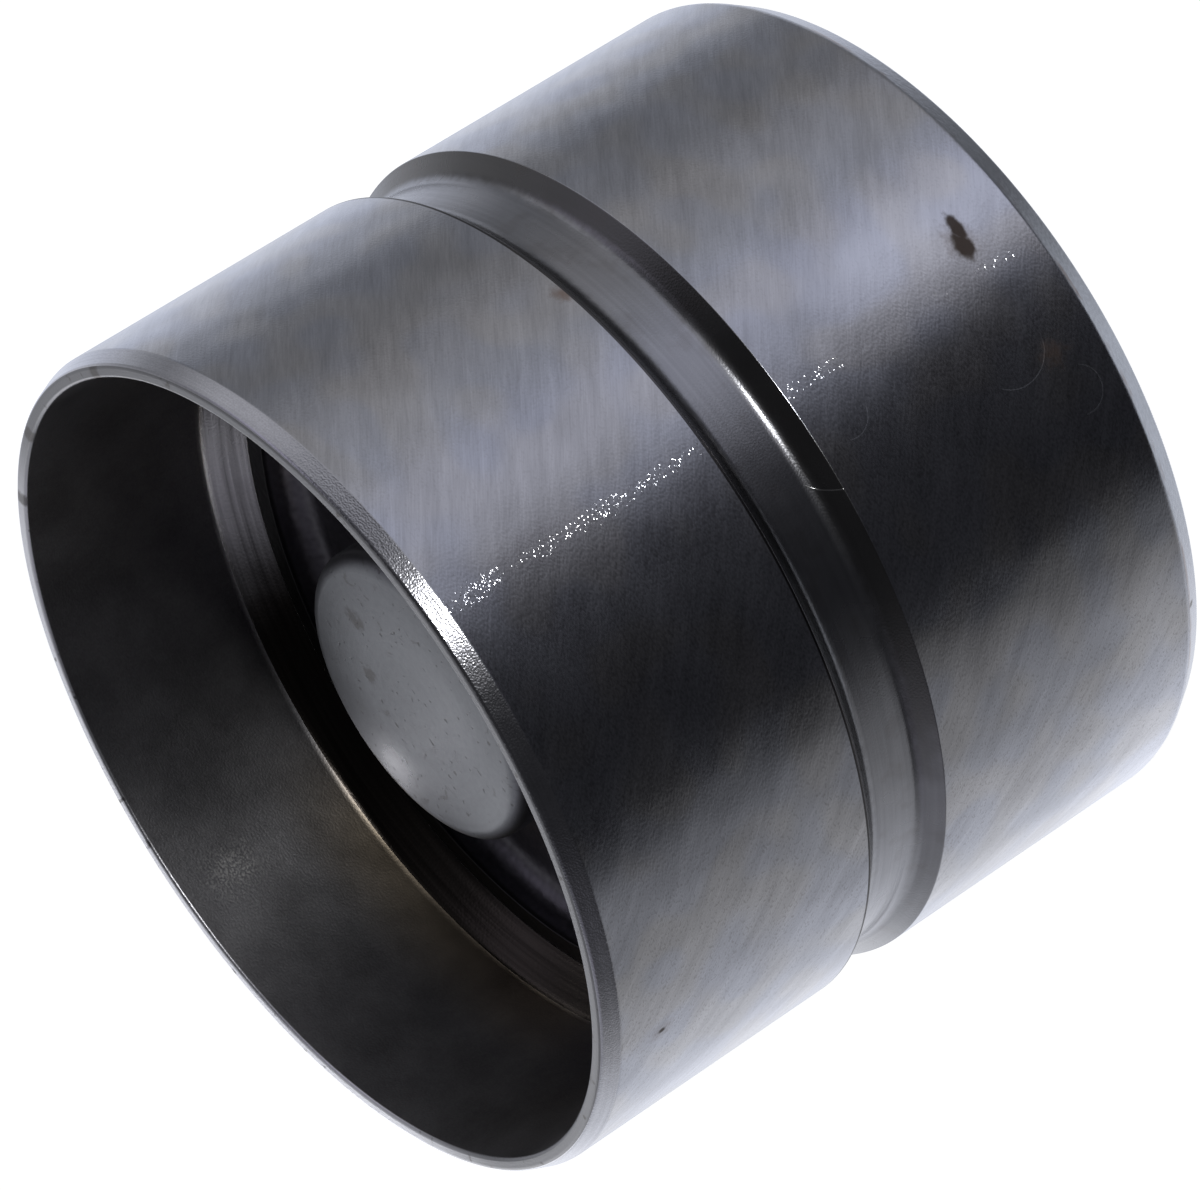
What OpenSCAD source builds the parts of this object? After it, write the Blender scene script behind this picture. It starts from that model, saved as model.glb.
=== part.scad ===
// Hydraulic valve lifter of the bucket type, for an overhead camshaft.
// It stands on its cam face, open end up. Millimetres, +Z up, origin in the middle of the cam face.

/* [Shell] */
// Outside diameter of the two running lands
shell_d = 31; // [28:0.1:35]
// Height from the cam face to the open rim
shell_h = 26.5; // [25.5:0.1:30]
// Thickness of the crown that the cam runs on
crown_t = 2.8; // [2:0.1:3.6]
// Radial size of the edge break round the cam face
crown_edge_r = 0.55; // [0.2:0.05:0.8]
// Height of the edge break round the cam face
crown_edge_h = 0.9; // [0.3:0.05:1.2]
// Wall of the shell round the oil reservoir
reservoir_wall = 2.4; // [1.8:0.1:2.6]
// Fillet between the crown and the reservoir wall
crown_fillet = 1.2; // [0.5:0.1:2]

/* [Skirt] */
// Wall of the skirt at the open rim
rim_wall = 0.76; // [0.6:0.02:0.9]
// How much narrower the skirt bore is at its foot than at the rim, on the radius
skirt_taper = 0.2; // [0.05:0.05:0.3]
// Height of the turned cone from the collar of the web up to the skirt bore
cone_h = 1.3; // [1:0.1:1.8]
// Fillet between that cone and the skirt bore
cone_fillet = 0.7; // [0.3:0.05:1]
// Radial size of the lead-in outside the rim
lead_r = 0.28; // [0.15:0.01:0.35]
// Height of the lead-in outside the rim
lead_h = 0.66; // [0.4:0.02:1]
// Size of the edge break inside the rim
rim_break = 0.08; // [0.05:0.01:0.12]

/* [Oil groove and passages] */
// Height of the middle of the oil groove above the cam face
groove_z = 13.53; // [12:0.01:15]
// Width of the groove at its mouth
groove_w = 3.3; // [3:0.05:4]
// Width of the groove at its floor
groove_floor_w = 2.05; // [1.6:0.05:2.4]
// Depth of the groove
groove_depth = 0.75; // [0.4:0.05:1]
// Fillet in both corners of the groove's floor
groove_fillet = 0.7; // [0.3:0.05:0.8]
// Diameter of the oil feed hole in the groove
feed_hole_d = 1.5; // [1:0.1:1.8]
// Diameter of the pocket that lets oil over the end of the piston
pocket_d = 4.4; // [4:0.1:5]
// Depth of that pocket in the crown
pocket_depth = 0.5; // [0.3:0.05:0.8]

/* [Guide web] */
// Height of the seat in the shell that the web rests on
web_z = 15.3; // [14.5:0.1:16]
// Thickness of the web
web_t = 1.2; // [1:0.1:1.5]
// Width of the shoulder in the shell under the web
shoulder_w = 0.5; // [0.4:0.05:0.7]
// Height of the turned-up collar above the seat
collar_h = 2.6; // [2.3:0.1:3]
// Wall of the collar
collar_t = 0.75; // [0.6:0.05:1]
// Radius of the bend between web and collar, inside
bend_in_r = 1; // [0.5:0.05:1.1]
// Radius of the bend between web and collar, outside
bend_out_r = 0.25; // [0.1:0.05:0.35]
// Wall of the guide sleeve
sleeve_wall = 1.3; // [1:0.1:1.6]
// Oil gap between the end of the sleeve and the crown
sleeve_gap = 2.7; // [2:0.1:4]
// Fillet between web and sleeve, on the reservoir side
sleeve_fillet = 0.8; // [0.4:0.1:1.2]
// Lead-in at both mouths of the sleeve
sleeve_lead = 0.3; // [0.1:0.05:0.5]

/* [Pressure cylinder] */
// Outside diameter of the pressure cylinder
cylinder_d = 11; // [10.4:0.1:12]
// Length of the pressure cylinder
cylinder_len = 14; // [12:0.1:15]
// Thickness of its closed end, which the valve stem pushes on
end_t = 2; // [1.5:0.1:2.5]
// Radius of the rounded edge of the closed end
end_edge = 0.6; // [0.2:0.05:0.8]
// Fillet in the corner at the bottom of the bore
bore_fillet = 0.3; // [0.15:0.05:0.35]
// Lead-in at the open end of the bore
bore_lead = 0.4; // [0.2:0.05:0.6]

/* [Piston] */
// Diameter of the piston
piston_d = 8; // [7.4:0.1:8.6]
// Length of the piston
piston_len = 10.7; // [9.5:0.1:12]
// Diameter of the oil store in the piston
store_d = 5.2; // [4.4:0.1:5.8]
// Thickness of the wall that holds the valve seat
seat_wall = 1.8; // [1.4:0.1:2.4]
// Diameter of the valve hole
valve_hole_d = 2; // [1.6:0.1:2.2]
// Diameter of the valve seat at its mouth
seat_d = 3.2; // [2.8:0.1:3.4]
// Edge break at both ends of the piston
piston_edge = 0.25; // [0.1:0.05:0.4]

/* [Check valve] */
// Diameter of the check ball
ball_d = 3; // [2.6:0.1:3.2]
// Thickness of the cage sheet
cage_t = 0.25; // [0.2:0.05:0.35]
// Play round the ball in its cage
cage_play = 0.25; // [0.2:0.05:0.35]
// Room for the check spring between the ball and the floor of the cage
cage_room = 0.95; // [0.8:0.05:1.3]
// Width of the oil windows in the cage
window_w = 1.2; // [0.8:0.1:1.4]
// Number of oil windows
windows = 3; // [2:1:4]
// Diameter of the oil hole in the floor of the cage
cage_hole_d = 1; // [0.6:0.1:1.2]
// Wire of the check spring
check_wire_d = 0.18; // [0.14:0.01:0.2]
// Mean diameter of the check spring
check_coil_d = 1.8; // [1.6:0.1:2]
// Turns of the check spring
check_turns = 3.5; // [3:0.5:4]

/* [Return spring and travel] */
// Travel of the pressure cylinder into the shell
stroke = 2.4; // [1.5:0.1:2.8]
// Room left between cage and cylinder at full travel
stroke_reserve = 0.55; // [0.3:0.05:1]
// Wire of the return spring
return_wire_d = 0.6; // [0.45:0.05:0.65]
// Mean diameter of the return spring
return_coil_d = 6.3; // [5.8:0.1:6.6]
// Turns of the return spring
return_turns = 5; // [4:0.5:5.5]

/* [Clearances] */
// Radial clearance of the pressure cylinder in the guide sleeve
guide_gap = 0.03; // [0.01:0.01:0.1]
// Radial clearance of the piston in the pressure cylinder
leak_gap = 0.02; // [0.01:0.01:0.1]
// Radial gap filled by braze between web and shell
braze_gap = 0.02; // [0.01:0.01:0.05]
// Clearance between the ball and its seat, and the check spring and the ball
ball_gap = 0.02; // [0.01:0.01:0.05]
// Clearance between the return spring and the pressure cylinder
spring_gap = 0.02; // [0.01:0.01:0.05]

/* [Hidden] */

$fn = 128;
// How far a cutting shape runs past the face that it cuts
cut = 1;
// How far the arc of a slanted fillet crosses its legs, so that it meets them
fillet_reach = 0.0005;

// Radii of the shell, from outside to inside
shell_r = shell_d / 2;
rim_r = shell_r - rim_wall;
skirt_r = rim_r - skirt_taper;
reservoir_r = shell_r - reservoir_wall;
web_seat_r = reservoir_r + shoulder_w;

// Heights of the shell, from the web to the foot of the skirt bore
collar_z = web_z + collar_h;
cone_z = collar_z + cone_h;

// Guide web
web_r = web_seat_r - braze_gap;
web_top_z = web_z + web_t;
sleeve_r = cylinder_d / 2 + guide_gap;
sleeve_end_z = crown_t + sleeve_gap;

// Piston and its valve seat, a cone of 45 degrees
piston_r = piston_d / 2;
piston_end_z = crown_t + piston_len;
store_r = store_d / 2;
valve_hole_r = valve_hole_d / 2;
seat_r = seat_d / 2;
seat_apex_z = piston_end_z - seat_r;

// Check ball, resting on its seat
ball_r = ball_d / 2;
ball_z = seat_apex_z + sqrt(2) * (ball_r + ball_gap);

// Valve cage
cage_r = ball_r + cage_play;
cage_floor_z = ball_z + ball_r + cage_room;
cage_end_z = cage_floor_z + cage_t;
flange_z = piston_end_z + cage_t;

// Pressure cylinder
cylinder_r = cylinder_d / 2;
bore_r = piston_r + leak_gap;
bore_floor_z = cage_end_z + stroke + stroke_reserve;
end_z = bore_floor_z + end_t;
cylinder_open_z = end_z - cylinder_len;
flange_r = bore_r - bore_fillet;

// The check spring starts where its first turn meets the ball
check_wire_r = check_wire_d / 2;
check_coil_r = check_coil_d / 2;
check_touch = ball_r + check_wire_r + ball_gap;
check_start_z = ball_z + sqrt(check_touch ^ 2 - check_coil_r ^ 2);

// Fills the inside corner between +X and +Y with a fillet
module corner(r) {
    difference() {
        square(r);
        translate([r, r]) circle(r);
    }
}

// The same corner at a point, with its legs along dx and dy, each 1 or -1
module corner_at(x, y, dx, dy, r) {
    translate([x, y])
        mirror([dx < 0 ? 1 : 0, 0])
            mirror([0, dy < 0 ? 1 : 0])
                corner(r);
}

// Fills a slanted corner at p with a fillet, between its legs towards a and b, anticlockwise from a
module fillet(p, a, b, r) {
    u = (a - p) / norm(a - p);
    v = (b - p) / norm(b - p);
    half = acos(u * v) / 2;
    leg = r / tan(half);
    open = (u + v) / norm(u + v);
    difference() {
        polygon([p + leg * u, p + leg * v, p + leg * (v - open), p + leg * (u - open)]);
        translate(p + open * r / sin(half)) circle(r + fillet_reach);
    }
}

// Outline of the shell: outside from the crown up, then inside from the rim down
module shell_outline() {
    groove_low = groove_z - groove_w / 2;
    groove_high = groove_z + groove_w / 2;
    floor_low = groove_z - groove_floor_w / 2;
    floor_high = groove_z + groove_floor_w / 2;
    groove_r = shell_r - groove_depth;
    polygon([
        [0, 0],
        [shell_r - crown_edge_r, 0],
        [shell_r, crown_edge_h],
        [shell_r, groove_low],
        [groove_r, floor_low],
        [groove_r, floor_high],
        [shell_r, groove_high],
        [shell_r, shell_h - lead_h],
        [shell_r - lead_r, shell_h],
        [rim_r + rim_break, shell_h],
        [rim_r, shell_h - rim_break],
        [skirt_r, cone_z],
        [web_seat_r, collar_z],
        [web_seat_r, web_z],
        [reservoir_r, web_z],
        [reservoir_r, crown_t],
        [0, crown_t],
    ]);
    corner_at(reservoir_r, crown_t, -1, 1, crown_fillet);
    fillet([groove_r, floor_low], [shell_r, groove_low], [groove_r, floor_high], groove_fillet);
    fillet([groove_r, floor_high], [groove_r, floor_low], [shell_r, groove_high], groove_fillet);
    fillet([skirt_r, cone_z], [rim_r, shell_h - rim_break], [web_seat_r, collar_z], cone_fillet);
}

// Bucket with its crown, oil groove, feed hole and skirt
module tappet_shell() {
    color([0.52, 0.53, 0.58])
        difference() {
            rotate_extrude() shell_outline();
            translate([0, reservoir_r - cut, groove_z])
                rotate([-90, 0, 0])
                    cylinder(d = feed_hole_d, h = reservoir_wall + 2 * cut);
            translate([0, (piston_r + store_r) / 2, crown_t - pocket_depth])
                cylinder(d = pocket_d, h = pocket_depth + cut);
        }
}

// Outline of the web: collar outside, sleeve inside
module web_outline() {
    collar_r = web_r - collar_t;
    sleeve_out = sleeve_r + sleeve_wall;
    difference() {
        union() {
            polygon([
                [sleeve_r + sleeve_lead, sleeve_end_z],
                [sleeve_out, sleeve_end_z],
                [sleeve_out, web_z],
                [web_r, web_z],
                [web_r, collar_z],
                [collar_r, collar_z],
                [collar_r, web_top_z],
                [sleeve_r + sleeve_lead, web_top_z],
                [sleeve_r, web_top_z - sleeve_lead],
                [sleeve_r, sleeve_end_z + sleeve_lead],
            ]);
            corner_at(sleeve_out, web_z, 1, -1, sleeve_fillet);
            corner_at(collar_r, web_top_z, -1, 1, min(bend_in_r, collar_h - web_t));
        }
        corner_at(web_r, web_z, -1, 1, bend_out_r);
    }
}

// Web with its collar and guide sleeve, brazed into the shell
module guide_web() {
    color([0.2, 0.19, 0.19])
        rotate_extrude() web_outline();
}

// Outline of the pressure cylinder, closed end up
module cylinder_outline() {
    difference() {
        union() {
            polygon([
                [bore_r + bore_lead, cylinder_open_z],
                [cylinder_r - bore_lead, cylinder_open_z],
                [cylinder_r, cylinder_open_z + bore_lead],
                [cylinder_r, end_z],
                [0, end_z],
                [0, bore_floor_z],
                [bore_r, bore_floor_z],
                [bore_r, cylinder_open_z + bore_lead],
            ]);
            corner_at(bore_r, bore_floor_z, -1, -1, bore_fillet);
        }
        corner_at(cylinder_r, end_z, -1, -1, end_edge);
    }
}

// Closed-end cup that slides in the guide sleeve
module pressure_cylinder() {
    color([0.47, 0.47, 0.46])
        rotate_extrude() cylinder_outline();
}

// Hollow piston on the crown, with the valve seat in its upper end
module piston() {
    hole_top_z = seat_apex_z + valve_hole_r;
    store_top_z = piston_end_z - seat_wall;
    color([0.62, 0.62, 0.64])
        rotate_extrude()
            polygon([
                [store_r, crown_t],
                [piston_r - piston_edge, crown_t],
                [piston_r, crown_t + piston_edge],
                [piston_r, piston_end_z - piston_edge],
                [piston_r - piston_edge, piston_end_z],
                [seat_r, piston_end_z],
                [valve_hole_r, hole_top_z],
                [valve_hole_r, store_top_z],
                [store_r, store_top_z],
            ]);
}

// Thin cap that traps the ball, with oil windows in its side
module valve_cage() {
    window_low_z = flange_z + cage_t;
    color([0.68, 0.66, 0.6])
        difference() {
            rotate_extrude()
                polygon([
                    [cage_r, piston_end_z],
                    [flange_r, piston_end_z],
                    [flange_r, flange_z],
                    [cage_r + cage_t, flange_z],
                    [cage_r + cage_t, cage_end_z],
                    [cage_hole_d / 2, cage_end_z],
                    [cage_hole_d / 2, cage_floor_z],
                    [cage_r, cage_floor_z],
                ]);
            for (i = [0 : windows - 1])
                rotate([0, 0, i * 360 / windows])
                    translate([cage_r - cut / 2, -window_w / 2, window_low_z])
                        cube([cage_t + cut, window_w, cage_floor_z - cage_t - window_low_z]);
        }
}

// Ball of the check valve
module check_ball() {
    color([0.75, 0.75, 0.77])
        translate([0, 0, ball_z])
            sphere(ball_r);
}

// Share of its height that a spring has climbed after u of n turns: the end turns lie close together
function climb(u, n, end) =
    u < 1 ? u * end :
    u > n - 1 ? 1 - (n - u) * end :
    end + (u - 1) * (1 - 2 * end) / (n - 2);

// Coil spring from z0 to z1, with its ends ground flat where the wire would pass them
module coil_spring(coil_r, wire_r, low_z, high_z, z0, z1, turns, steps, sides) {
    rings = ceil(turns * steps);
    close = 2.15 * wire_r / (z1 - z0);
    points = [
        for (i = [0 : rings], k = [0 : sides - 1])
            let (
                u = turns * i / rings,
                a = 360 * u,
                b = 360 * (k + 0.5) / sides,
                r = coil_r + wire_r * cos(b),
                z = z0 + (z1 - z0) * climb(u, turns, close) + wire_r * sin(b)
            )
            [r * cos(a), r * sin(a), min(high_z, max(low_z, z))]
    ];
    sleeve = [
        for (i = [0 : rings - 1], k = [0 : sides - 1])
            let (
                a = i * sides + k,
                b = i * sides + (k + 1) % sides
            )
            each [[a, a + sides, b], [b, a + sides, b + sides]]
    ];
    first = [for (k = [0 : sides - 1]) k];
    last = [for (k = [sides - 1 : -1 : 0]) rings * sides + k];
    polyhedron(points, concat(sleeve, [first, last]));
}

// Spring that holds the ball on its seat
module check_spring() {
    color([0.6, 0.6, 0.62])
        coil_spring(check_coil_r, check_wire_r, check_start_z - check_wire_r, cage_floor_z,
            check_start_z, cage_floor_z, check_turns, 16, 6);
}

// Spring between the flange of the cage and the pressure cylinder
module return_spring() {
    high_z = bore_floor_z - spring_gap;
    color([0.55, 0.55, 0.57])
        coil_spring(return_coil_d / 2, return_wire_d / 2, flange_z, high_z,
            flange_z, high_z, return_turns, 20, 8);
}

tappet_shell();
guide_web();
pressure_cylinder();
piston();
valve_cage();
check_ball();
check_spring();
return_spring();
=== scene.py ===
import math
from collections import namedtuple
from functools import cached_property

import bpy
from mathutils import Matrix, Vector


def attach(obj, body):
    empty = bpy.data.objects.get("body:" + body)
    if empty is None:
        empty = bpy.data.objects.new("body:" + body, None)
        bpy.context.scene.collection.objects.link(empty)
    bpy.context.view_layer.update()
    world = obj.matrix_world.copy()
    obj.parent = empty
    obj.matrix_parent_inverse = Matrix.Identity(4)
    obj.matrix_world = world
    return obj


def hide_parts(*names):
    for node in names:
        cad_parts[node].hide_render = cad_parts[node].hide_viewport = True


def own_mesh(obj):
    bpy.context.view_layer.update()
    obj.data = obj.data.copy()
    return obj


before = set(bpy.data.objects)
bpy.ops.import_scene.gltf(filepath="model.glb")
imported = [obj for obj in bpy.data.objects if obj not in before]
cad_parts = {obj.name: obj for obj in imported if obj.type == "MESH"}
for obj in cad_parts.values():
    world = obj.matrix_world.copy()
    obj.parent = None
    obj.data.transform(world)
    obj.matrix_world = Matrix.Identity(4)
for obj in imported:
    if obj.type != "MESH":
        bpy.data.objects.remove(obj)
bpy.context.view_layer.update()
scene = bpy.context.scene
scene.view_settings.view_transform = "Standard"

# Shapes and marks are in millimetres and degrees, and Blender works in metres and radians
MM = 0.001
MICRON = 1e-6
SHELL_R = 15.5
SHELL_H = 26.5
MM_PER_DEGREE = math.radians(1) * SHELL_R
# Helix of the grinding lines: turn in radians per millimetre of height
GRINDING_ANGLE = 38
TWIST = 1 / (SHELL_R * math.tan(math.radians(GRINDING_ANGLE)))


# Shader nodes

class Graph:
    """A node tree with short calls for the nodes that the materials use."""

    def __init__(self, tree):
        self.tree = tree

    def add(self, kind, ins=None, **settings):
        node = self.tree.nodes.new(kind)
        for name, value in settings.items():
            setattr(node, name, value)
        for key, value in (ins or {}).items():
            self.put(node.inputs[key], value)
        return node

    def put(self, socket, value):
        if isinstance(value, bpy.types.NodeSocket):
            self.tree.links.new(value, socket)
        elif socket.type == "RGBA" and len(value) == 3:
            socket.default_value = (*value, 1)
        else:
            socket.default_value = value

    def math(self, operation, a, b=0.0):
        return self.add("ShaderNodeMath", {0: a, 1: b}, operation=operation).outputs[0]

    def fold(self, operation, values):
        result = values[0]
        for value in values[1:]:
            result = self.math(operation, result, value)
        return result

    def plus(self, *terms):
        return self.fold("ADD", terms)

    def times(self, *factors):
        return self.fold("MULTIPLY", factors)

    def most(self, *values):
        return self.fold("MAXIMUM", values)

    def hypot(self, u, v):
        return self.math("SQRT", self.plus(self.times(u, u), self.times(v, v)))

    def turn(self, x, y):
        """Angle round Z in radians, nought towards -Y, with its break at +Y."""
        return self.math("ARCTAN2", self.times(x, -1.0), self.times(y, -1.0))

    def smooth(self, value, low, high, to_low=0.0, to_high=1.0):
        node = self.add("ShaderNodeMapRange", {0: value, 1: low, 2: high, 3: to_low, 4: to_high},
                        interpolation_type="SMOOTHSTEP")
        return node.outputs[0]

    def between(self, value, start, full, last, end):
        """1 from full to last, falling off to 0 at start and end."""
        return self.times(self.smooth(value, start, full), self.smooth(value, end, last))

    def vector(self, x, y, z):
        return self.add("ShaderNodeCombineXYZ", {0: x, 1: y, 2: z}).outputs[0]

    def split(self, vector):
        return self.add("ShaderNodeSeparateXYZ", {0: vector}).outputs

    def scaled(self, vector, by):
        return self.add("ShaderNodeVectorMath", {0: vector, 1: by}, operation="MULTIPLY").outputs[0]

    def noise(self, vector, scale=1.0, detail=2.0, rough=0.5, distort=0.0):
        node = self.add("ShaderNodeTexNoise", {"Vector": vector, "Scale": scale, "Detail": detail,
                                               "Roughness": rough, "Distortion": distort})
        return node.outputs[0]

    def cells(self, vector):
        return self.add("ShaderNodeTexVoronoi", {"Vector": vector, "Scale": 1.0},
                        voronoi_dimensions="2D").outputs

    def mix(self, amount, a, b, blend="MIX"):
        # The node's inputs 6 and 7 are its two colours, and output 2 is their mix
        return self.add("ShaderNodeMix", {0: amount, 6: a, 7: b}, data_type="RGBA",
                        blend_type=blend).outputs[2]

    def ramp(self, value, stops):
        node = self.add("ShaderNodeValToRGB", {0: value})
        elements = node.color_ramp.elements
        while len(elements) < len(stops):
            elements.new(0.5)
        for element, (place, colour) in zip(elements, stops):
            element.position = place
            element.color = (*colour, 1)
        return node.outputs[0]


class Steel(Graph):
    """A metal whose nodes start from the place on the piece, in millimetres."""

    def __init__(self, name):
        self.material = bpy.data.materials.new(name)
        self.material.use_nodes = True
        super().__init__(self.material.node_tree)
        self.shader = self.tree.nodes["Principled BSDF"]
        self.shader.inputs["Metallic"].default_value = 1.0
        place = self.add("ShaderNodeTexCoord").outputs["Object"]
        self.place = self.scaled(place, (1 / MM, 1 / MM, 1 / MM))
        self.x, self.y, self.z = self.split(self.place)
        self.radius = self.hypot(self.x, self.y)

    @cached_property
    def angle(self):
        """Angle round the axis in degrees, nought towards -Y, with its break at +Y."""
        return self.times(self.turn(self.x, self.y), 180 / math.pi)

    @cached_property
    def ragged(self):
        """Noise that makes the edges of marks uneven."""
        return self.plus(self.noise(self.place, 3.2, 2.0, 0.6), -0.5)

    def tinted(self, colour, *tones):
        tone = self.plus(*tones)
        return self.mix(1.0, colour, self.vector(tone, tone, tone), "MULTIPLY")

    def over(self, colour, mask, amount, tone):
        """The colour with a tone laid over it where the mask is 1."""
        return self.mix(self.times(mask, amount), colour, tone)

    def finish(self, colour, rough, height):
        """Ends the material. The height of its relief is in micrometres."""
        relief = self.add("ShaderNodeBump", {"Strength": 1.0, "Distance": MICRON, "Height": height})
        self.put(self.shader.inputs["Base Color"], colour)
        self.put(self.shader.inputs["Roughness"], rough)
        self.put(self.shader.inputs["Normal"], relief.outputs[0])
        return self.material

    def helix(self):
        """The place turned back along the grinding helix, so that one grinding line stays at one angle."""
        ins = {"Vector": self.place, "Angle": self.times(self.z, TWIST)}
        return self.add("ShaderNodeVectorRotate", ins, rotation_type="Z_AXIS").outputs[0]

    def rings(self, along, scale):
        """Turning rings: noise along the profile that hardly changes round the piece."""
        x, y, _ = self.split(self.scaled(self.place, (0.12, 0.12, 0.0)))
        return self.noise(self.vector(x, y, self.times(along, scale)), 1.0, 2.0, 0.6)

    def grain(self, across, along):
        """Fine grain, as many per millimetre round the piece and along its axis."""
        return self.noise(self.scaled(self.place, (across, across, along)), 1.0, 0.0)

    def within(self, u, v, ragged, full):
        """1 where u, v is nearer to nought than full, 0 beyond 1, with a ragged edge."""
        away = self.hypot(u, v)
        return self.smooth(self.plus(away, self.times(self.ragged, ragged * 2)), 1.0, full)

    def spot(self, angle, z, wide, high, ragged=0.5, full=0.35):
        """A mark on the outside, with its half width and half height."""
        u = self.times(self.plus(self.angle, -angle), MM_PER_DEGREE / wide)
        return self.within(u, self.times(self.plus(self.z, -z), 1 / high), ragged, full)

    def dab(self, x, y, size, ragged, full=0.35):
        """The same on a face square to the axis."""
        return self.within(self.times(self.plus(self.x, -x), 1 / size),
                           self.times(self.plus(self.y, -y), 1 / size), ragged, full)

    def arc(self, u, z, radius, middle, half):
        """Thin curved scratch on the outside: the part of a circle round u, z within half of the middle."""
        width = 0.026
        across = self.plus(self.times(self.angle, MM_PER_DEGREE), -u)
        up = self.plus(self.z, -z)
        away = self.hypot(across, up)
        line = self.smooth(self.math("ABSOLUTE", self.plus(away, -radius)), width, width * 0.3)
        ahead = self.plus(self.times(across, math.cos(math.radians(middle))),
                          self.times(up, math.sin(math.radians(middle))))
        limit = math.cos(math.radians(half))
        part = self.smooth(self.math("DIVIDE", ahead, away), limit, limit + 0.3 * (1 - limit))
        return self.times(line, part)


# Materials of the shell, from the cam face round to the inside

def cam_face():
    g = Steel("cam_face")
    ring = g.rings(g.radius, 5.0)
    cloud = g.noise(g.place, 0.25, 3.0, 0.55)
    colour = g.tinted((0.54, 0.54, 0.56), 0.75, g.times(ring, 0.22), g.times(cloud, 0.2))
    height = g.plus(g.times(ring, 3.0), g.times(g.grain(8.0, 8.0), 2.0))
    return g.finish(colour, g.plus(0.2, g.times(cloud, 0.1)), height)


def crown_edge():
    g = Steel("crown_edge")
    cloud = g.noise(g.place, 0.6, 2.0, 0.55)
    grain = g.grain(6.0, 9.0)
    colour = g.tinted((0.51, 0.525, 0.575), 0.72, g.times(cloud, 0.3), g.times(grain, 0.16))
    # Broken rusty line along the edge, and a pit
    line_z = 0.78
    line = g.times(g.smooth(g.math("ABSOLUTE", g.plus(g.z, -line_z)), 0.12, 0.02),
                   g.smooth(g.noise(g.place, 0.7, 2.0), 0.45, 0.62))
    colour = g.over(colour, line, 0.55, (0.2, 0.13, 0.1))
    colour = g.mix(g.spot(46.5, 0.65, 0.17, 0.2, 0.3), colour, (0.05, 0.045, 0.04))
    return g.finish(colour, g.plus(0.22, g.times(cloud, 0.08)), g.times(grain, 6.0))


def glints(g, cloud):
    """Worn grains along the line where the light strikes: flat facets, each leaning towards the rim."""
    across, along = 4.0, 17.0  # facets per degree and per millimetre
    clump_z, clump_step = 24.5, 2.45
    facet = g.cells(g.vector(g.times(g.angle, across), g.times(g.z, along), 0.0))
    pick, tilt, _ = g.split(facet["Color"])
    _, middle, _ = g.split(facet["Position"])
    clump = g.math("COSINE", g.times(g.plus(g.z, -clump_z), 2 * math.pi / clump_step))
    rim = g.smooth(g.z, 15.5, 20.5)
    often = g.plus(0.12, g.times(rim, 0.13), g.times(rim, clump, 0.13), g.times(cloud, 0.58))
    struck = g.between(g.angle, -9.4, -7.2, -6.6, -4.2)
    chosen = g.times(g.smooth(g.times(pick, struck, often), 0.3, 0.45),
                     g.smooth(facet["Distance"], 0.4, 0.3))
    lean = g.times(g.plus(middle, g.times(g.z, -along)), g.plus(0.4, g.times(tilt, 1.5)))
    return g.times(chosen, lean)


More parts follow.
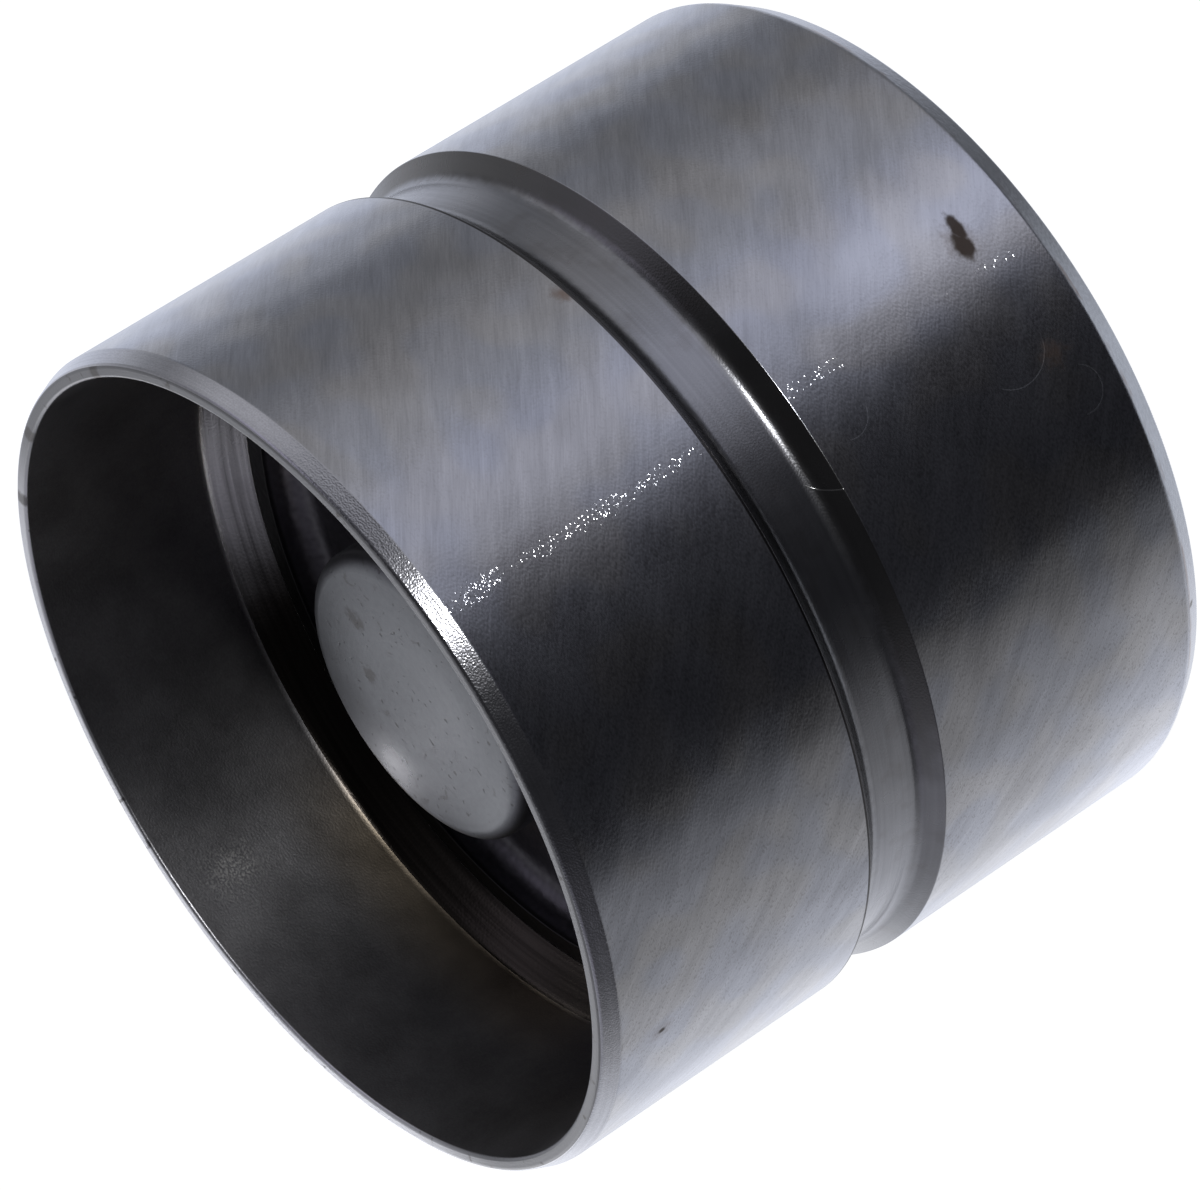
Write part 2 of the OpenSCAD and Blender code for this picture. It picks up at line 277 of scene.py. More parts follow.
def ground_lands():
    g = Steel("ground_lands")
    helix = g.helix()
    line = g.noise(g.scaled(helix, (11, 11, 1.7)), 1.0, 1.0, 0.5)
    broad = g.noise(g.scaled(helix, (1.5, 1.5, 0.55)), 1.0, 2.0, 0.6)
    cloud = g.noise(g.place, 0.34, 1.0, 0.55)
    grain = g.grain(9.0, 15.0)
    warm = g.smooth(g.noise(g.place, 0.5, 0.0), 0.38, 0.64)
    base = g.mix(warm, (0.50, 0.515, 0.573), (0.528, 0.528, 0.552))
    # Painted reflection: the crown land is brighter on both sides of the dark front, which is speckled
    plus_x = g.times(g.between(g.angle, -26.0, -13.0, -7.0, -1.0), 0.42)
    minus_x = g.times(g.between(g.angle, 30.0, 44.0, 105.0, 165.0), 0.36)
    painted_sheen = g.plus(g.times(g.smooth(g.z, 6.5, 1.0), minus_x), g.times(g.smooth(g.z, 11.0, 6.0), plus_x))
    front = g.between(g.angle, -8.0, 2.0, 24.0, 34.0)
    speckle = g.times(g.plus(grain, -0.5), front, 0.75)
    colour = g.tinted(base, 0.46, g.times(line, 0.28), g.times(broad, 0.42), g.times(cloud, 0.38),
                      painted_sheen, speckle)
    # Grit, thickest on the side away from the light
    side = g.between(g.angle, 26.0, 40.0, 60.0, 95.0)
    grit = g.smooth(grain, 0.62, 0.74)
    colour = g.over(colour, grit, g.plus(0.09, g.times(side, 0.17)), (0.16, 0.15, 0.14))
    # Pits, stains and scratches that this lifter has
    small_at = (58.0, 24.15)
    small = g.spot(*small_at, 0.15, 0.22, 0.3)
    pit = g.most(g.spot(-12.9, 3.1, 0.74, 0.28, 0.3, 0.5), g.spot(-10.6, 3.3, 0.66, 0.44, 0.3, 0.5))
    halo = g.most(g.spot(-11.4, 3.25, 1.0, 0.8, 0.6), g.times(g.spot(*small_at, 0.5, 0.6), 0.6))
    stain = g.most(g.spot(5.9, 2.7, 0.8, 0.9, 0.6, 0.0), g.spot(-32.8, 15.35, 0.6, 0.5, 0.5, 0.0))
    scratch = g.most(g.arc(0.68, 4.15, 1.38, -15, 62), g.arc(3.15, 2.45, 0.82, -71, 92),
                     g.times(g.arc(-0.35, 10.5, 0.87, -30, 52), 0.7))
    colour = g.over(colour, halo, 0.35, (0.24, 0.19, 0.16))
    colour = g.over(colour, stain, 0.65, (0.24, 0.14, 0.085))
    colour = g.over(colour, pit, 0.92, (0.085, 0.062, 0.05))
    colour = g.mix(small, colour, (0.05, 0.04, 0.035))
    rough = g.plus(0.17, g.times(cloud, 0.06), g.times(line, 0.05), g.times(pit, 0.4),
                   g.times(stain, 0.15), g.times(scratch, 0.14))
    height = g.plus(g.times(grain, 3.2), g.times(glints(g, cloud), 22.0), g.times(line, 0.6),
                    g.times(cloud, 60.0))
    return g.finish(colour, rough, height)


def turned_groove():
    g = Steel("turned_groove")
    ring = g.rings(g.z, 7.0)
    cloud = g.noise(g.place, 0.5, 2.0, 0.55)
    colour = g.tinted((0.385, 0.39, 0.42), 0.66, g.times(ring, 0.34), g.times(cloud, 0.3))
    # Painted shade in both corners and on both walls, with less by the crown on one side
    ragged_z = g.plus(g.z, g.times(g.ragged, 0.3))
    shade_by_crown = g.smooth(ragged_z, 12.72, 12.3)
    shade_by_rim = g.smooth(ragged_z, 14.2, 14.75)
    less_shade = g.times(g.smooth(g.plus(g.angle, g.times(cloud, 30.0)), 48.0, 66.0),
                    g.smooth(g.angle, 165.0, 105.0))
    colour = g.over(colour, shade_by_crown, g.plus(0.86, g.times(less_shade, -0.5)), (0.16, 0.157, 0.155))
    colour = g.over(colour, shade_by_rim, 0.9, (0.065, 0.063, 0.065))
    oil_and_painted_shade = g.smooth(g.noise(g.place, 0.9, 2.0, 0.6), 0.54, 0.68)
    colour = g.over(colour, oil_and_painted_shade, 0.16, (0.2, 0.18, 0.17))
    fibre = g.arc(0.1, 11.1, 1.765, 42.6, 20)
    colour = g.mix(fibre, colour, (0.6, 0.6, 0.6))
    height = g.plus(g.times(ring, 4.0), g.times(g.grain(14.0, 18.0), 3.0), g.times(fibre, 3.0))
    return g.finish(colour, g.plus(0.2, g.times(cloud, 0.12)), height)


def ground_lead():
    g = Steel("ground_lead")
    ring = g.rings(g.z, 14.0)
    grain = g.grain(15.0, 19.0)
    cloud = g.noise(g.place, 0.8, 2.0, 0.6)
    colour = g.tinted((0.56, 0.565, 0.605), 0.58, g.times(ring, 0.36), g.times(grain, 0.26),
                      g.times(cloud, 0.22))
    height = g.plus(g.times(ring, 1.5), g.times(grain, g.smooth(g.angle, -45.0, -22.0, 1.2, 5.5)))
    return g.finish(colour, g.plus(0.15, g.times(cloud, 0.08)), height)


def rim_face():
    g = Steel("rim_face")
    cloud = g.noise(g.place, 0.8, 3.0, 0.6)
    ring = g.rings(g.radius, 14.0)
    colour = g.tinted((0.25, 0.25, 0.265), 0.72, g.times(ring, 0.25), g.times(cloud, 0.25))
    # Painted reflection: the far side is brighter, and its relief is rougher there
    far_side = (3.0, 10.0)
    colour = g.mix(g.smooth(g.y, *far_side, 0.0, 0.9), colour, (0.84, 0.84, 0.89))
    spots = g.smooth(g.noise(g.place, 1.7, 2.0, 0.6), 0.62, 0.72)
    marks = [g.spot(angle, SHELL_H, wide, 9.0)
             for angle, wide in ((-76.0, 0.45), (-105.0, 0.5), (-120.0, 0.4))]
    colour = g.over(colour, g.most(spots, g.most(*marks)), 0.72, (0.09, 0.08, 0.075))
    height = g.plus(g.times(ring, 3.0), g.times(g.grain(12.0, 12.0), g.smooth(g.y, *far_side, 4.0, 8.0)))
    return g.finish(colour, g.plus(0.3, g.times(cloud, 0.1)), height)


def skirt_bore():
    g = Steel("skirt_bore")
    cloud = g.noise(g.place, 0.35, 3.0, 0.6)
    fine = g.noise(g.place, 3.0, 2.0, 0.65)
    grain = g.grain(12.0, 14.0)
    colour = g.tinted((0.35, 0.345, 0.357), 0.42, g.times(cloud, 0.6), g.times(grain, 0.3),
                      g.times(fine, 0.25))
    # The oil left inside is golden by the foot of the bore, on one side, and lighter there as a painted
    # glow where the light glints on it
    gold_and_glow = g.times(g.smooth(g.z, 22.4, 19.2), g.smooth(g.x, 2.0, -4.0), g.smooth(g.y, 5.0, 10.0))
    colour = g.over(colour, gold_and_glow, 0.8, g.tinted((0.46, 0.375, 0.26), 0.62, g.times(cloud, 0.8)))
    # Painted glints in a patch near the rim
    glint_area = g.within(g.times(g.plus(g.x, 1.5), 0.75), g.times(g.plus(g.z, -24.4), 0.65), 0.6, 0.0)
    painted_glints = g.times(glint_area, g.smooth(g.y, 0.0, 5.0), g.smooth(grain, 0.42, 0.66))
    colour = g.over(colour, painted_glints, 0.6, (0.8, 0.79, 0.77))
    height = g.plus(g.times(grain, 3.6), g.times(fine, 1.5))
    return g.finish(colour, g.plus(0.30, g.times(cloud, 0.16)), height)


def turned_cone():
    g = Steel("turned_cone")
    ring = g.rings(g.z, 7.0)
    cloud = g.noise(g.place, 0.45, 2.0, 0.55)
    colour = g.tinted((0.5, 0.495, 0.5), 0.1, g.times(ring, 1.5), g.times(cloud, 0.2))
    # Painted shade: the cone is left light on one side only and painted dark on the rest
    oil_and_painted_shade = g.smooth(g.plus(g.x, g.times(cloud, 3.0)), 11.5, 6.0, 0.0, 0.96)
    colour = g.mix(oil_and_painted_shade, colour, g.tinted((0.034, 0.027, 0.021), 0.2, g.times(ring, 1.4)))
    height = g.plus(g.times(ring, 9.0), g.times(g.grain(10.0, 12.0), 4.0))
    return g.finish(colour, g.plus(0.2, g.times(cloud, 0.12)), height)


def raw_inside():
    g = Steel("raw_inside")
    ring = g.rings(g.plus(g.z, g.radius), 6.0)
    cloud = g.noise(g.place, 0.4, 3.0, 0.6)
    colour = g.tinted((0.36, 0.35, 0.34), 0.6, g.times(ring, 0.3), g.times(cloud, 0.35))
    return g.finish(colour, g.plus(0.32, g.times(cloud, 0.15)), g.times(ring, 8.0))


# Materials of the pieces inside

def dark_web():
    g = Steel("dark_web")
    cloud = g.noise(g.place, 0.5, 3.0, 0.6)
    grain = g.grain(5.0, 5.0)
    colour = g.tinted((0.155, 0.148, 0.168), 0.45, g.times(cloud, 0.7), g.times(grain, 0.4))
    # Painted shade: the top of the collar is darker
    colour = g.mix(g.smooth(g.z, 17.62, 17.82, 0.0, 0.92), colour, (0.03, 0.029, 0.03))
    g.shader.inputs["Coat Weight"].default_value = 0.18
    g.shader.inputs["Coat Roughness"].default_value = 0.14
    height = g.plus(g.times(grain, 8.0), g.times(cloud, 40.0))
    return g.finish(colour, g.plus(0.3, g.times(cloud, 0.18)), height)


def element_face():
    g = Steel("element_face")
    cloud = g.noise(g.place, 0.55, 3.0, 0.6)
    fine = g.noise(g.place, 5.0, 2.0, 0.65)
    ring = g.rings(g.radius, 5.0)
    colour = g.tinted((0.315, 0.322, 0.345), 0.68, g.times(cloud, 0.28), g.times(fine, 0.22),
                      g.times(ring, 0.14))
    smudge = g.most(g.times(g.smooth(g.noise(g.place, 1.5, 3.0, 0.65, 0.6), 0.6, 0.74), 0.8),
                    g.dab(3.33, 0.28, 0.55, 0.8), g.dab(1.53, 1.67, 0.5, 0.8))
    colour = g.over(colour, smudge, 0.62, (0.16, 0.15, 0.145))
    pit = g.smooth(g.noise(g.place, 4.2, 0.0), 0.74, 0.82)
    colour = g.over(colour, pit, 0.5, (0.14, 0.13, 0.125))
    # Painted shade on the edge and side
    colour = g.mix(g.smooth(g.radius, 5.2, 5.45, 0.0, 0.6), colour, (0.07, 0.068, 0.066))
    # The face falls away a little outside its flat middle, and the valve stem has rubbed one place
    flat_r = 2.6
    out = g.math("MAXIMUM", g.plus(g.radius, -flat_r), 0.0)
    height = g.plus(g.times(fine, 5.0), g.times(ring, 4.0), g.times(pit, -9.0), g.times(out, out, -36.0))
    rubbed = g.dab(-1.47, 3.95, 1.7, 0.2, 0.1)
    return g.finish(colour, g.plus(0.33, g.times(cloud, 0.14), g.times(rubbed, -0.2)), height)


def bright_steel(name, colour, rough):
    g = Steel(name)
    cloud = g.noise(g.place, 0.7, 2.0, 0.55)
    grain = g.grain(7.0, 7.0)
    ring = g.rings(g.z, 6.0)
    colour = g.tinted(colour, 0.74, g.times(cloud, 0.2), g.times(ring, 0.2), g.times(grain, 0.12))
    height = g.plus(g.times(ring, 4.0), g.times(grain, 3.0))
    return g.finish(colour, g.plus(rough, g.times(cloud, 0.1)), height)


# Shapes

BAKE_UV = "OFBake"
# The pieces' own UVs leave the top of the map free for the drilled holes
UV_MARGIN, UV_WIDE, UV_HIGH = 0.002, 0.996, 0.95
FILLET_STEP = 9
ON_AXIS = 1e-6
DRILL_SIDES = 48
Row = namedtuple("Row", "r z normal_r normal_z zone")


def add_object(name, data):
    thing = bpy.data.objects.new(name, data)
    scene.collection.objects.link(thing)
    return thing


def add_piece(name, verts, normals, faces, uvs, materials, zones):
    mesh = bpy.data.meshes.new(name)
    mesh.from_pydata(verts, [], faces)
    layer = mesh.uv_layers.new(name=BAKE_UV)
    for corner, (u, v) in zip(layer.data, uvs):
        corner.uv = (UV_MARGIN + UV_WIDE * u, UV_MARGIN + UV_HIGH * v)
    for material in materials:
        mesh.materials.append(material)
    mesh.polygons.foreach_set("material_index", zones)
    # Only the cut ends of a wire have more than four corners, and they are flat
    mesh.polygons.foreach_set("use_smooth", [len(face) <= 4 for face in faces])
    mesh.normals_split_custom_set_from_vertices(normals)
    return add_object(name, mesh)


def rounded(corners):
    """Rows of the profile through corners of r, z, fillet and zone of the edge that follows.

    The profile is closed, or starts and ends on the axis.
    """
    count = len(corners)
    closed = corners[0][0] > 0
    places = [Vector(corner[:2]) for corner in corners]
    ways = [(places[(i + 1) % count] - places[i]).normalized() for i in range(count)]
    rows = []
    for i, (r, z, fillet, zone) in enumerate(corners):
        came, goes = ways[i - 1], ways[i]
        if not closed and i in (0, count - 1):
            way = goes if i == 0 else came
            rows.append(Row(r, z, way.y, -way.x, zone))
            continue
        zone_before = corners[i - 1][3]
        turn = math.atan2(came.x * goes.y - came.y * goes.x, came.dot(goes))
        side = 1 if turn > 0 else -1
        start = places[i] - came * fillet * math.tan(abs(turn) / 2)
        centre = start + Vector((-came.y, came.x)) * side * fillet
        steps = max(3, math.ceil(math.degrees(abs(turn)) / FILLET_STEP))
        for k in range(steps + 1):
            swing = turn * k / steps
            way = Vector((came.x * math.cos(swing) - came.y * math.sin(swing),
                          came.x * math.sin(swing) + came.y * math.cos(swing)))
            point = centre - Vector((-way.y, way.x)) * side * fillet
            rows.append(Row(point.x, point.y, way.y, -way.x, zone_before if k < steps / 2 else zone))
    return rows, closed


def lathe(name, corners, materials, segments):
    """Turns a rounded profile about Z. Its normals are those of the true profile."""
    rows, closed = rounded(corners)
    verts, normals, rings = [], [], []
    for row in rows:
        if row.r < ON_AXIS:
            rings.append([len(verts)])
            verts.append((0, 0, row.z * MM))
            normals.append((0, 0, 1 if row.normal_z > 0 else -1))
            continue
        rings.append(range(len(verts), len(verts) + segments))
        for j in range(segments):
            a = math.pi / 2 + 2 * math.pi * j / segments
            verts.append((row.r * MM * math.cos(a), row.r * MM * math.sin(a), row.z * MM))
            normals.append((row.normal_r * math.cos(a), row.normal_r * math.sin(a), row.normal_z))
    length = [0.0]
    for a, b in zip(rows, rows[1:] + rows[:1]):
        length.append(length[-1] + math.hypot(b.r - a.r, b.z - a.z))
    strips = len(rows) if closed else len(rows) - 1
    faces, zones, uvs = [], [], []
    for i in range(strips):
        low, high = rings[i], rings[(i + 1) % len(rows)]
        v0, v1 = length[i] / length[strips], length[i + 1] / length[strips]
        for j in range(segments):
            k = (j + 1) % segments
            u0, u1 = j / segments, (j + 1) / segments
            if len(low) == 1:
                faces.append((low[0], high[k], high[j]))
                uvs += [((u0 + u1) / 2, v0), (u1, v1), (u0, v1)]
            elif len(high) == 1:
                faces.append((low[j], low[k], high[0]))
                uvs += [(u0, v0), (u1, v0), ((u0 + u1) / 2, v1)]
            else:
                faces.append((low[j], low[k], high[k], high[j]))
                uvs += [(u0, v0), (u1, v0), (u1, v1), (u0, v1)]
            zones.append(rows[i].zone)
    return add_piece(name, verts, normals, faces, uvs, materials, zones)


def drill_bit(start, end, radius, number, material):
    """Cylinder from start to end. Its UVs lie above those of the piece, the first bit's on the left."""
    left, wide, low, high = 0.01 + 0.45 * number, 0.4, 0.96, 0.03
    sides = DRILL_SIDES
    turn = (end - start).to_track_quat("Z", "Y")
    turns = [2 * math.pi * k / sides for k in range(sides)]
    ring = [turn @ Vector((radius * math.cos(a), radius * math.sin(a), 0)) for a in turns]
    verts = [(centre + v) * MM for centre in (start, end) for v in ring]
    faces = [(k, (k + 1) % sides, sides + (k + 1) % sides, sides + k) for k in range(sides)]
    faces += [tuple(reversed(range(sides))), tuple(range(sides, 2 * sides))]
    mesh = bpy.data.meshes.new("drill")
    mesh.from_pydata(verts, [], faces)
    layer = mesh.uv_layers.new(name=BAKE_UV)
    for corner, loop in zip(layer.data, mesh.loops):
        at_end, k = divmod(loop.vertex_index, sides)
        corner.uv = (left + wide * k / sides, low + high * at_end)
    mesh.materials.append(material)
    return add_object("drill", mesh)


def drill(piece, holes, corners, material):
    """Cuts round holes, each (start, end, radius), and gives every face the normals of its true surface."""
    for number, (start, end, radius) in enumerate(holes):
        bit = drill_bit(Vector(start), Vector(end), radius, number, material)
        cut = piece.modifiers.new("drill", "BOOLEAN")
        cut.operation, cut.solver, cut.object = "DIFFERENCE", "EXACT", bit
        cut.material_mode = "TRANSFER"
        seen = piece.evaluated_get(bpy.context.evaluated_depsgraph_get())
        result = bpy.data.meshes.new_from_object(seen)
        piece.modifiers.clear()
        spent = (piece.data, bit.data)
        piece.data = result
        result.name = piece.name
        bpy.data.objects.remove(bit)
        for mesh in spent:
            bpy.data.meshes.remove(mesh)
    restore_normals(piece.data, corners)


def restore_normals(mesh, corners):
    """Gives a cut mesh the normals of its profile, and those of its faces in the holes."""
    on_profile, alike = 0.02, 0.9
    rows, _ = rounded(corners)
    lines = [(Vector(a[:2]), Vector(b[:2]), Vector(a[2:4]), Vector(b[2:4])) for a, b in zip(rows, rows[1:])]
    known = {}

    def nearest(point):
        """Distance from the profile, and the profile's normal there."""
        r, z = math.hypot(point.x, point.y), point.z
        key = (round(r, 3), round(z, 3))
        if key not in known:
            here, best = Vector((r, z)), None
            for a, b, normal_a, normal_b in lines:
                way = b - a
                t = min(1, max(0, (here - a).dot(way) / max(way.length_squared, 1e-12)))
                gap = (a + way * t - here).length
                if best is None or gap < best[0]:
                    best = gap, normal_a.lerp(normal_b, t)
            known[key] = best
        return known[key]

    normals = []
    for face in mesh.polygons:
        middle = face.center / MM
        gap, normal = nearest(middle)
        turned = gap < on_profile and abs(face.normal.dot(outward(middle, normal))) > alike
        for index in face.vertices:
            at = mesh.vertices[index].co / MM
            normals.append(outward(at, nearest(at)[1]) if turned else face.normal.copy())
    mesh.normals_split_custom_set(normals)


def outward(at, profile_normal):
    """The profile's normal, turned to the side where the point is."""
    r = math.hypot(at.x, at.y)
    if r < ON_AXIS:
        return Vector((0, 0, 1 if profile_normal.y > 0 else -1))
    return Vector((profile_normal.x * at.x / r, profile_normal.x * at.y / r, profile_normal.y)).normalized()


def coil(name, coil_r, wire_r, start, low, high, turns, material):
    """Coil spring with close end turns, cut off flat at low and high.

    The middle of its wire goes from start to high.
    """
    steps, sides = 40, 16  # in a turn, and round the wire
    rings = round(turns * steps)
    close = 2.15 * wire_r / (high - start)  # share of the climb in an end turn
    verts, normals = [], []
    for i in range(rings + 1):
        turn = turns * i / rings
        if turn < 1:
            climb = turn * close
        elif turn > turns - 1:
            climb = 1 - (turns - turn) * close
        else:
            climb = close + (turn - 1) * (1 - 2 * close) / (turns - 2)
        x, y = math.cos(2 * math.pi * turn), math.sin(2 * math.pi * turn)
        for k in range(sides):
            around = 2 * math.pi * (k + 0.5) / sides
            out, up = math.cos(around), math.sin(around)
            r, z = coil_r + wire_r * out, start + (high - start) * climb + wire_r * up
            verts.append((r * x * MM, r * y * MM, min(high, max(low, z)) * MM))
            normals.append((out * x, out * y, up) if low < z < high else (0, 0, 1 if z >= high else -1))
    faces, uvs = [], []
    for i in range(rings):
        for k in range(sides):
            here, beside = i * sides + k, i * sides + (k + 1) % sides
            faces.append((here, here + sides, beside + sides, beside))
            uvs += [((i + a) / rings, (k + b) / sides) for a, b in ((0, 0), (1, 0), (1, 1), (0, 1))]
    ends_v = 1.02
    last = len(verts) - 1
    for ring in (range(sides), range(last, last - sides, -1)):
        faces.append(tuple(ring))
        uvs += [(k / sides, ends_v) for k in range(sides)]
    return add_piece(name, verts, normals, faces, uvs, [material], [0] * len(faces))


# Pieces that replace CAD nodes. A corner is r, z, fillet and the zone that follows

CAM, EDGE, LAND, GROOVE, LEAD, FACE, BORE, CONE, INSIDE = range(9)
SHELL = [
    (0, 0, 0, CAM),
    (14.95, 0, 0.3, EDGE),
    (SHELL_R, 0.9, 0.45, LAND),
    (SHELL_R, 11.88, 0.08, GROOVE),
    (14.75, 12.505, 0.7, GROOVE),
    (14.75, 14.555, 0.75, GROOVE),
    (SHELL_R, 15.18, 0.08, GROOVE),
    (SHELL_R, 15.28, 0, LAND),
    (SHELL_R, 25.84, 0.25, LEAD),
    (15.22, SHELL_H, 0.2, FACE),
    (14.82, SHELL_H, 0.12, FACE),
    (14.74, 26.42, 0.12, BORE),
    (14.54, 19.2, 0.7, CONE),
    (13.6, 17.9, 0.04, INSIDE),
    (13.6, 15.3, 0.05, INSIDE),
    (13.1, 15.3, 0.05, INSIDE),
    (13.1, 2.8, 1.2, INSIDE),
    (0, 2.8, 0, INSIDE),
]
# Holes from start to end, with their radius: the oil feed in the groove, and the pocket in the crown
FEED_HOLE = ((0, 12, 13.53), (0, 16.5, 13.53), 0.75)
CROWN_POCKET = ((0, 3.3, 2.3), (0, 3.3, 4), 2.2)
WEB = [
    (5.83, 5.5, 0.05, 0),
    (6.83, 5.5, 0.1, 0),
    (6.83, 15.3, 0.8, 0),
    (13.58, 15.3, 0.25, 0),
    (13.58, 17.9, 0.04, 0),
    (12.83, 17.9, 0.04, 0),
    (12.83, 16.5, 1.0, 0),
    (5.83, 16.5, 0.06, 0),
    (5.53, 16.2, 0.06, 0),
    (5.53, 5.8, 0.06, 0),
]
ELEMENT = [
    (0, 19.6996, 0, 0),
    (4.02, 19.6996, 0.3, 0),
    (4.02, 8.0996, 0.08, 0),
    (4.42, 7.6996, 0.05, 0),
    (5.1, 7.6996, 0.05, 0),
    (5.5, 8.0996, 0.08, 0),
    (5.5, 21.6996, 0.6, 0),
    (0, 21.6996, 0, 0),
]

inside = raw_inside()
shell = lathe("lifter_shell", SHELL, [cam_face(), crown_edge(), ground_lands(), turned_groove(),
                                      ground_lead(), rim_face(), skirt_bore(), turned_cone(), inside], 384)
drill(shell, [FEED_HOLE, CROWN_POCKET], SHELL, inside)
web = lathe("guide_web_pressing", WEB, [dark_web()], 256)
element = lathe("element_cup", ELEMENT, [element_face()], 256)

for piece, node, body, slot in ((shell, "tappet_shell", "bucket", "ground_steel"),
                                (web, "guide_web", "bucket", "dark_web_steel"),
                                (element, "pressure_cylinder", "plunger", "element_steel")):
    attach(piece, body)
    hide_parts(node)

valve = bright_steel("valve_steel", (0.6, 0.6, 0.62), 0.18)
wire = bright_steel("spring_wire", (0.5, 0.5, 0.52), 0.24)
for node in ("piston", "valve_cage", "check_ball"):
    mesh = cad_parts[node].data
    mesh.materials.clear()
    mesh.materials.append(valve)

# Each spring stands on one end. The return spring stands on the cage's flange, and the check
# spring, which the ball pushes from below, on the cage's floor
RETURN_STANDS, RETURN_TOP, RETURN_LENGTH = 13.75, 19.6796, 5.9296
CHECK_STANDS, CHECK_START, CHECK_LOW, CHECK_LENGTH = 16.4996, 15.3846, 15.2946, 1.115
return_coil = coil("return_coil", 3.15, 0.3, RETURN_STANDS, RETURN_STANDS, RETURN_TOP, 5, wire)
check_coil = coil("check_coil", 0.9, 0.09, CHECK_START, CHECK_LOW, CHECK_STANDS, 3.5, wire)
for spring, node, joint, stands, length in (
        (return_coil, "return_spring", "plunger_stroke", RETURN_STANDS, RETURN_LENGTH),
        (check_coil, "check_spring", "ball_lift", CHECK_STANDS, CHECK_LENGTH)):
    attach(spring, "bucket")
    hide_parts(node)
    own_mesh(spring)


# Studio. The surroundings' colours go once round Z from +Y, as parts of a turn, with -Y at 0.5

BELOW = [
    (0.0, (0.92, 0.95, 1.04)),
    (0.06, (0.83, 0.87, 0.98)),
    (0.10, (0.66, 0.69, 0.78)),
    (0.145, (0.45, 0.46, 0.49)),
    (0.19, (0.19, 0.195, 0.21)),
    (0.255, (0.21, 0.21, 0.215)),
    (0.29, (0.335, 0.33, 0.335)),
    (0.345, (0.38, 0.385, 0.41)),
    (0.375, (0.49, 0.50, 0.57)),
    (0.415, (0.555, 0.565, 0.64)),
    (0.44, (0.39, 0.395, 0.44)),
    (0.458, (0.25, 0.25, 0.275)),
    (0.472, (0.088, 0.088, 0.098)),
    (0.51, (0.03, 0.03, 0.033)),
    (0.57, (0.019, 0.019, 0.021)),
    (0.645, (0.019, 0.019, 0.021)),
    (0.676, (0.115, 0.115, 0.118)),
    (0.705, (0.25, 0.25, 0.255)),
    (0.76, (0.36, 0.36, 0.365)),
    (0.81, (0.52, 0.525, 0.545)),
    (0.875, (0.77, 0.785, 0.83)),
    (0.935, (1.07, 1.09, 1.16)),
    (1.0, (1.02, 1.05, 1.13)),
]
HORIZON = [
    (0.0, (0.78, 0.80, 0.86)),
    (0.09, (0.62, 0.63, 0.67)),
    (0.139, (0.25, 0.255, 0.27)),
    (0.18, (0.20, 0.20, 0.21)),
    (0.236, (0.48, 0.48, 0.50)),
    (0.306, (0.46, 0.46, 0.48)),
    (0.389, (0.37, 0.37, 0.40)),
    (0.44, (0.12, 0.12, 0.13)),
    (0.5, (0.02, 0.02, 0.022)),
    (0.625, (0.02, 0.02, 0.022)),
    (0.70, (0.05, 0.05, 0.054)),
    (0.75, (0.10, 0.10, 0.106)),
    (0.80, (0.32, 0.32, 0.33)),
    (0.833, (0.58, 0.59, 0.62)),
    (0.917, (0.80, 0.82, 0.87)),
    (1.0, (0.78, 0.80, 0.86)),
]
ABOVE = [
    (0.0, (0.40, 0.405, 0.42)),
    (0.10, (0.37, 0.375, 0.39)),
    (0.167, (0.22, 0.22, 0.23)),
    (0.222, (0.25, 0.245, 0.28)),
    (0.27, (0.50, 0.48, 0.575)),
    (0.32, (0.10, 0.10, 0.112)),
    (0.44, (0.03, 0.03, 0.032)),
    (0.5, (0.02, 0.02, 0.022)),
    (0.625, (0.02, 0.02, 0.022)),
    (0.667, (0.06, 0.06, 0.066)),
    (0.75, (0.23, 0.225, 0.26)),
    (0.833, (0.36, 0.36, 0.39)),
    (0.917, (0.40, 0.405, 0.42)),
    (1.0, (0.40, 0.405, 0.42)),
]
# Direction of the soft light low behind the lifter
BACK_LIGHT = (-0.249, 0.947, 0.199)


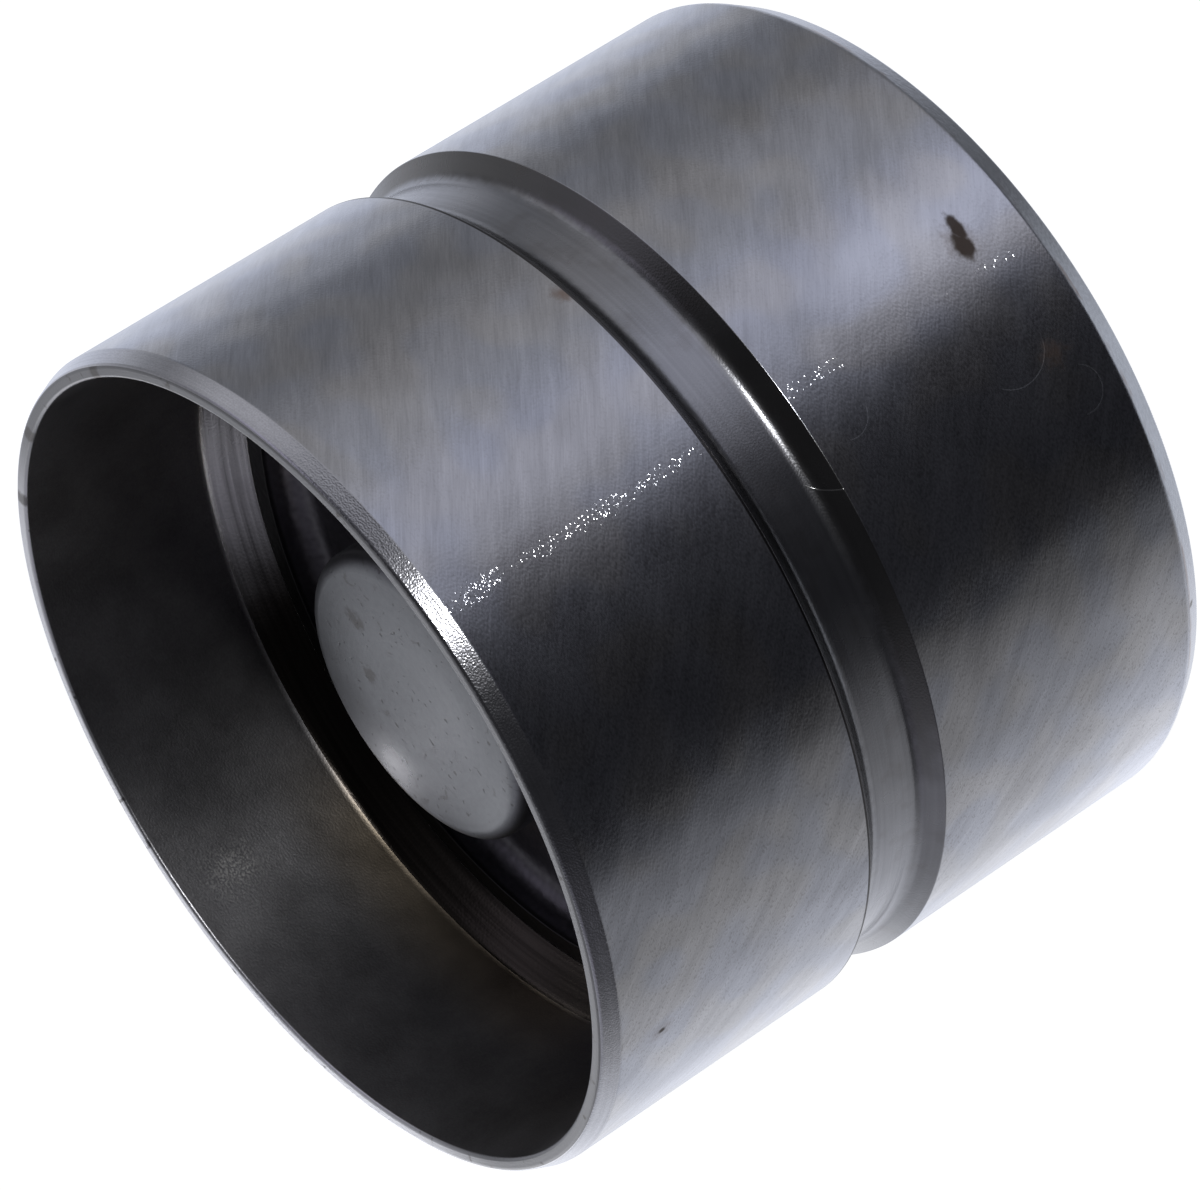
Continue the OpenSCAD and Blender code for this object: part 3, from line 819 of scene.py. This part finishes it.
def studio():
    """Pale surroundings with a dark gap in front, as the bands on the lifter show."""
    world = bpy.data.worlds.new("studio")
    scene.world = world
    world.use_nodes = True
    g = Graph(world.node_tree)
    light = g.tree.nodes["Background"]
    x, y, z = g.split(g.add("ShaderNodeTexCoord").outputs["Generated"])
    around = g.plus(g.times(g.turn(x, y), 0.5 / math.pi), 0.5)
    colour = g.mix(g.smooth(z, -0.06, 0.06), g.ramp(around, BELOW), g.ramp(around, HORIZON))
    colour = g.mix(g.smooth(z, 0.2, 0.42), colour, g.ramp(around, ABOVE))
    # Overhead it is dark in front, and under the lifter it is dark in front and on one side
    top = g.mix(g.smooth(y, -0.1, 0.35), (0.03, 0.03, 0.032), (0.42, 0.425, 0.44))
    colour = g.mix(g.smooth(z, 0.68, 0.88), colour, top)
    ground = g.mix(g.smooth(x, -0.15, 0.25), (0.70, 0.73, 0.78), (0.15, 0.155, 0.165))
    ground = g.mix(g.smooth(y, -0.12, -0.4), ground, (0.04, 0.04, 0.044))
    colour = g.mix(g.smooth(z, -0.72, -0.95), colour, ground)
    near = g.plus(*(g.times(axis, part) for axis, part in zip((x, y, z), BACK_LIGHT)))
    colour = g.mix(g.smooth(near, 0.927, 0.99), colour, (1.6, 1.62, 1.66))
    g.put(light.inputs["Color"], colour)
    light.inputs["Strength"].default_value = 1.0


def pale_floor():
    half = 3.0
    mesh = bpy.data.meshes.new("floor")
    mesh.from_pydata([(-half, -half, 0), (half, -half, 0), (half, half, 0), (-half, half, 0)], [],
                     [(0, 1, 2, 3)])
    floor = add_object("floor", mesh)
    material = bpy.data.materials.new("pale_floor")
    material.use_nodes = True
    shader = material.node_tree.nodes["Principled BSDF"]
    for name, value in (("Base Color", (0.4, 0.405, 0.41, 1)),
                        ("Roughness", 0.9),
                        ("Specular IOR Level", 0.0),
                        ("Emission Color", (1, 1, 1, 1)),
                        ("Emission Strength", 0.95)):
        shader.inputs[name].default_value = value
    mesh.materials.append(material)
    floor.visible_glossy = False


def key_light():
    """Small hard light that glints on the rim, the groove corner and the grains."""
    distance, middle = 0.5, Vector((0, 0, 0.014))
    towards = Vector((0.225, -0.935, 0.27)).normalized()
    lamp = bpy.data.lights.new("key", "AREA")
    lamp.shape = "DISK"
    lamp.size = 0.03
    lamp.energy = 0.55
    light = add_object("key", lamp)
    light.location = towards * distance + middle
    light.rotation_euler = towards.to_track_quat("Z", "Y").to_euler()


def photo_camera():
    """The photograph's view, from a camera fitted to the circles of rim, groove and crown."""
    place, tilt, roll = (-0.00035, -0.2103, 0.1152), 64.24, -122.53
    lens = bpy.data.cameras.new("photo_view")
    lens.sensor_width = 36
    lens.lens = 207.9
    lens.clip_start = 0.01
    camera = add_object("photo_view", lens)
    turn = Matrix.Rotation(math.radians(tilt), 4, "X") @ Matrix.Rotation(math.radians(roll), 4, "Z")
    camera.matrix_world = Matrix.Translation(place) @ turn
    scene.camera = camera


studio()
pale_floor()
key_light()
photo_camera()
